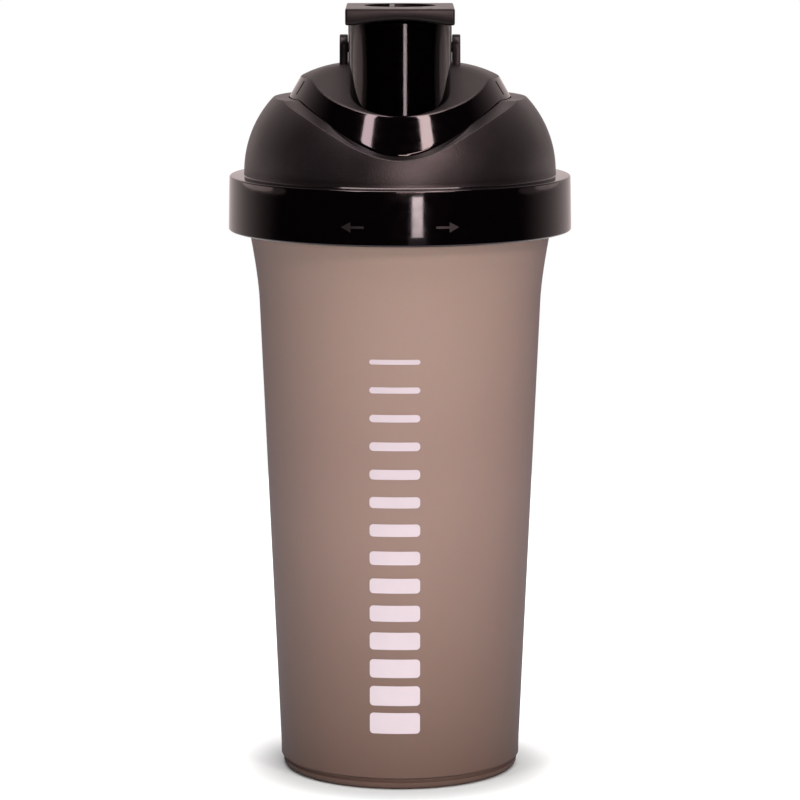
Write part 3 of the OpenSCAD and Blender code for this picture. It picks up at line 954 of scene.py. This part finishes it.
front_arc = [(r, y) for r, y in arc(0, SPOUT_Y, CAP_R, -180, 0, 72)]
right_side = [(CAP_R, SPOUT_Y + 0.95 * k) for k in range(1, 20)]
back = [(CAP_R - CAP_R * k / 8, CAP_BACK) for k in range(17)]
left_side = [(-CAP_R, -1.95 - 0.95 * k) for k in range(19)]
cap = bmesh.new()
ring = front_arc + right_side + back + left_side[:-1]
plan = [cap.verts.new((x * MM, y * MM, 0)) for x, y in ring]
bmesh.ops.remove_doubles(cap, verts=plan, dist=1e-6)
sole = cap.faces.new([v for v in plan if v.is_valid])
bmesh.ops.inset_region(cap, faces=[sole], thickness=CAP_WALL * MM, use_boundary=True,
                       use_even_offset=True)
bmesh.ops.delete(cap, geom=[sole], context="FACES")
grown = bmesh.ops.extrude_face_region(cap, geom=cap.faces[:])
upper = {v for v in grown["geom"] if isinstance(v, bmesh.types.BMVert)}
for v in cap.verts:
    high = SLAB_H - SLAB_T + 0.4 if v in upper else shell_bottom(v.co.y / MM)
    v.co.z = (LEDGE + high) * MM
bmesh.ops.recalc_face_normals(cap, faces=cap.faces[:])
round_edges(cap, [e for e in sharp_edges(cap, 40)
                  if not (e.verts[0] in upper and e.verts[1] in upper)], 0.25, 2)
print("cap shell faces:", len(cap.faces))

# %% [markdown]
# ## The cap's slab
# The slab is what the thumb pushes. Its front edge is thicker at the sides than in the middle,
# a shallow arch, and a round recess with one rib on top gives the thumb something to feel. A
# grid is raised into a block, its underside is bent to the arch, and the recess is cut out.

# %% Cap slab with its arched front and thumb recess
ARCH_R, ARCH_TOP = 60.0, 3.3
RECESS_R, RECESS_Y, RECESS_DEEP = 10.2, -14.5, 1.3
RIB_SIZE, RIB_X = (1.5 * MM, 19.0 * MM, 1.6 * MM), -2.3


def slab_underside(x):
    """Height of the slab's underside above the ledge: a shallow arch across its front."""
    crown = SLAB_H - ARCH_TOP - ARCH_R + math.sqrt(ARCH_R ** 2 - x ** 2)
    return max(crown, SLAB_H - SLAB_T)


slab = bmesh.new()
bmesh.ops.create_grid(slab, x_segments=40, y_segments=12, size=0.5)
bmesh.ops.scale(slab, verts=slab.verts[:], vec=(SLAB_W * MM, (SLAB_FRONT - 1) * MM, 1))
bmesh.ops.translate(slab, verts=slab.verts[:], vec=(0, -(SLAB_FRONT + 1) / 2 * MM, 0))
grown = bmesh.ops.extrude_face_region(slab, geom=slab.faces[:])
upper = {v for v in grown["geom"] if isinstance(v, bmesh.types.BMVert)}
for v in slab.verts:
    arched = v.co.y < (SPOUT_Y - 3) * MM
    low = slab_underside(v.co.x / MM) if arched else SLAB_H - SLAB_T
    v.co.z = (LEDGE + (SLAB_H if v in upper else low)) * MM
bmesh.ops.recalc_face_normals(slab, faces=slab.faces[:])
front_y = -SLAB_FRONT * MM
nose = [e for e in sharp_edges(slab, 60) if not (e.verts[0] in upper or e.verts[1] in upper)
        and all(abs(v.co.y - front_y) < 1e-6 for v in e.verts)]
round_edges(slab, nose, 1.2, 5)
round_edges(slab, sharp_edges(slab, 55), 0.5, 4)
slab = carve(slab, [post(RECESS_R, 0, RECESS_Y, LEDGE + SLAB_H - RECESS_DEEP,
                         LEDGE + SLAB_H + 3)])
rib = bmesh.new()
bmesh.ops.create_cube(rib, size=1.0)
bmesh.ops.scale(rib, verts=rib.verts[:], vec=RIB_SIZE)
bmesh.ops.translate(rib, verts=rib.verts[:],
                    vec=(RIB_X * MM, RECESS_Y * MM, (LEDGE + SLAB_H - 0.85) * MM))
round_edges(rib, rib.edges[:], 0.25, 2)
print("slab and rib faces:", len(slab.faces), len(rib.faces))

# %% [markdown]
# ## Hinge web and stem
# At the back a web comes down from the slab and ends in the knuckle, a barrel about the pin
# that fills the room between the ears. In front a stem under the slab holds the soft plug
# over the spout's mouth.

# %% Cap hinge web, knuckle and the stem that holds the plug
KNUCKLE_R, KNUCKLE_HOLE = 4.1, 1.56
half = EAR_X - KNUCKLE_GAP
web_top = LEDGE + SLAB_H - 2
web = plate([(-1, web_top), (0.8, LEDGE + 44.9),
             *arc(HINGE_Y, LEDGE + HINGE_H, KNUCKLE_R, 78, -95, 26),
             (-4.6, LEDGE + 32.95), (-6, LEDGE + 32.5), (-6, web_top)], -half, half)
web = carve(web, [rod(KNUCKLE_HOLE, -half - 2, half + 2, HINGE_Y, LEDGE + HINGE_H)])
round_edges(web, sharp_edges(web, 60), 0.3, 2)
stem = join(post(5.0, 0, SPOUT_Y, LEDGE + 41.5, LEDGE + SLAB_H - SLAB_T + 0.3),
            post(3.0, 0, SPOUT_Y, LEDGE + 38.8, LEDGE + 42))
cap = join(cap, slab, rib, web, stem)
cap_piece = finish_piece(cap, "flip_cap_shell", cap_black, "cap", ["flip_cap"])
# The slab is satin, and the shell, the knuckle and the stem stay polished.
cap_piece.data.materials.append(satin_black)
for face in cap_piece.data.polygons:
    if face.center.z > (LEDGE + SLAB_H - SLAB_T - 0.05) * MM:
        face.material_index = 1

# %% [markdown]
# ## The cup
# The cup is a straight taper that swells into the neck under the collar. The flare grows with a
# power of the height, so it starts without a visible kink. The foot has a soft radius with a
# fine undercut above it, and the base is drawn up a little so that the bottle stands on a ring.

# %% Cup section
BASE_R, TAPER_R, TAPER_Z, NECK_R, NECK_Z = 35.4, 41.2, 139.0, 45.0, 164.5
CUP_WALL, RIM_Z = 1.6, 172.9
FOOT_TOP, FLARE_POWER = 6.5, 1.4


def cup_radius(z):
    """Outside radius of the cup at a height in millimetres."""
    if z <= TAPER_Z:
        climb = max(z - FOOT_TOP, 0)
        return BASE_R + (TAPER_R - BASE_R) * climb / (TAPER_Z - FOOT_TOP)
    rise = min((z - TAPER_Z) / (NECK_Z - TAPER_Z), 1.0)
    return TAPER_R + (NECK_R - TAPER_R) * rise ** FLARE_POWER


heights = [FOOT_TOP + (NECK_Z - FOOT_TOP) * i / 60 for i in range(61)]
outside = [(cup_radius(z), z) for z in heights]
inside = [(cup_radius(z) - CUP_WALL, z) for z in reversed(heights[2:])]
undercut = [(34.75, 2.0), (34.35, 2.3), (34.1, 2.6), (34.1, 3.0), (34.35, 3.25), (35.38, 3.6)]
cup_section = [(0, 1.4), (27.2, 1.4), (28.4, 0.5), (29.4, 0.0), *arc(33.2, 1.5, 1.5, -90, 0, 8),
               *undercut, *outside, (NECK_R, RIM_Z - 0.5),
               *arc(NECK_R - 0.8, RIM_Z - 0.8, 0.8, 0, 180, 10),
               (NECK_R - CUP_WALL, NECK_Z + 1), *inside,
               *arc(BASE_R - CUP_WALL - 4.2, 8.0, 4.2, 0, -90, 8), (0, 3.8)]
cup = lathe(cup_section, closed=False)
ridges = [thread(NECK_R - 0.6, 46.5, 166, THREAD_START + 180 * i, 216) for i in range(2)]
cup = join(cup, *ridges)
finish_piece(cup, "cup_shell", cup_plastic, "cup", ["cup"])

# %% [markdown]
# ## The printed gauge
# The cup carries a plain fill gauge, pad-printed in white ink: bars that grow thinner as they
# climb. A print is a film of ink a few hundredths of a millimetre thick that follows the
# surface, so each bar is an outline with rounded corners, thickened and bent to the cup.

# %% Fill gauge
GAUGE_W, GAUGE_LOW, GAUGE_HIGH, BARS = 14.6, 17.0, 127.0, 14
GAUGE_X = -1.5
BAR_TALL, BAR_FALL, BAR_THIN = 6.2, 4.8, 1.4  # lowest bar, how much they lose, highest bar
gauge = bmesh.new()
pitch = (GAUGE_HIGH - GAUGE_LOW - BAR_THIN) / (BARS - 1)
for k in range(BARS):
    tall = BAR_TALL - BAR_FALL * k / (BARS - 1)
    z = GAUGE_LOW + pitch * k
    corner = min(tall / 2, 1.1)
    left, right = GAUGE_X - GAUGE_W / 2, GAUGE_X + GAUGE_W / 2
    outline = [*arc(right - corner, z + corner, corner, -90, 0, 5),
               *arc(right - corner, z + tall - corner, corner, 0, 90, 5),
               *arc(left + corner, z + tall - corner, corner, 90, 180, 5),
               *arc(left + corner, z + corner, corner, 180, 270, 5)]
    join(gauge, wrapped(outline, cup_radius, 0.05, 0.8))
finish_piece(gauge, "printed_fill_gauge", ink_white, "cup")

# %% [markdown]
# ## Pieces that keep their CAD shape
# The gasket, the strainer, the pin and the plug are simple turned or drilled parts, and their
# CAD solids are already the real shape. They only need the finish of what they are made of.

# %% Finishes for the kept CAD pieces
kept = {"lid_gasket": seal_grey, "mixing_grid": grid_black, "hinge_pin": pin_black,
        "spout_plug": seal_grey}
for node, material in kept.items():
    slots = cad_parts[node].data.materials
    slots.clear()
    slots.append(material)
print("kept CAD pieces:", sorted(kept))

# %% Sizes and finish
low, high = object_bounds()
print("pieces made:", made)
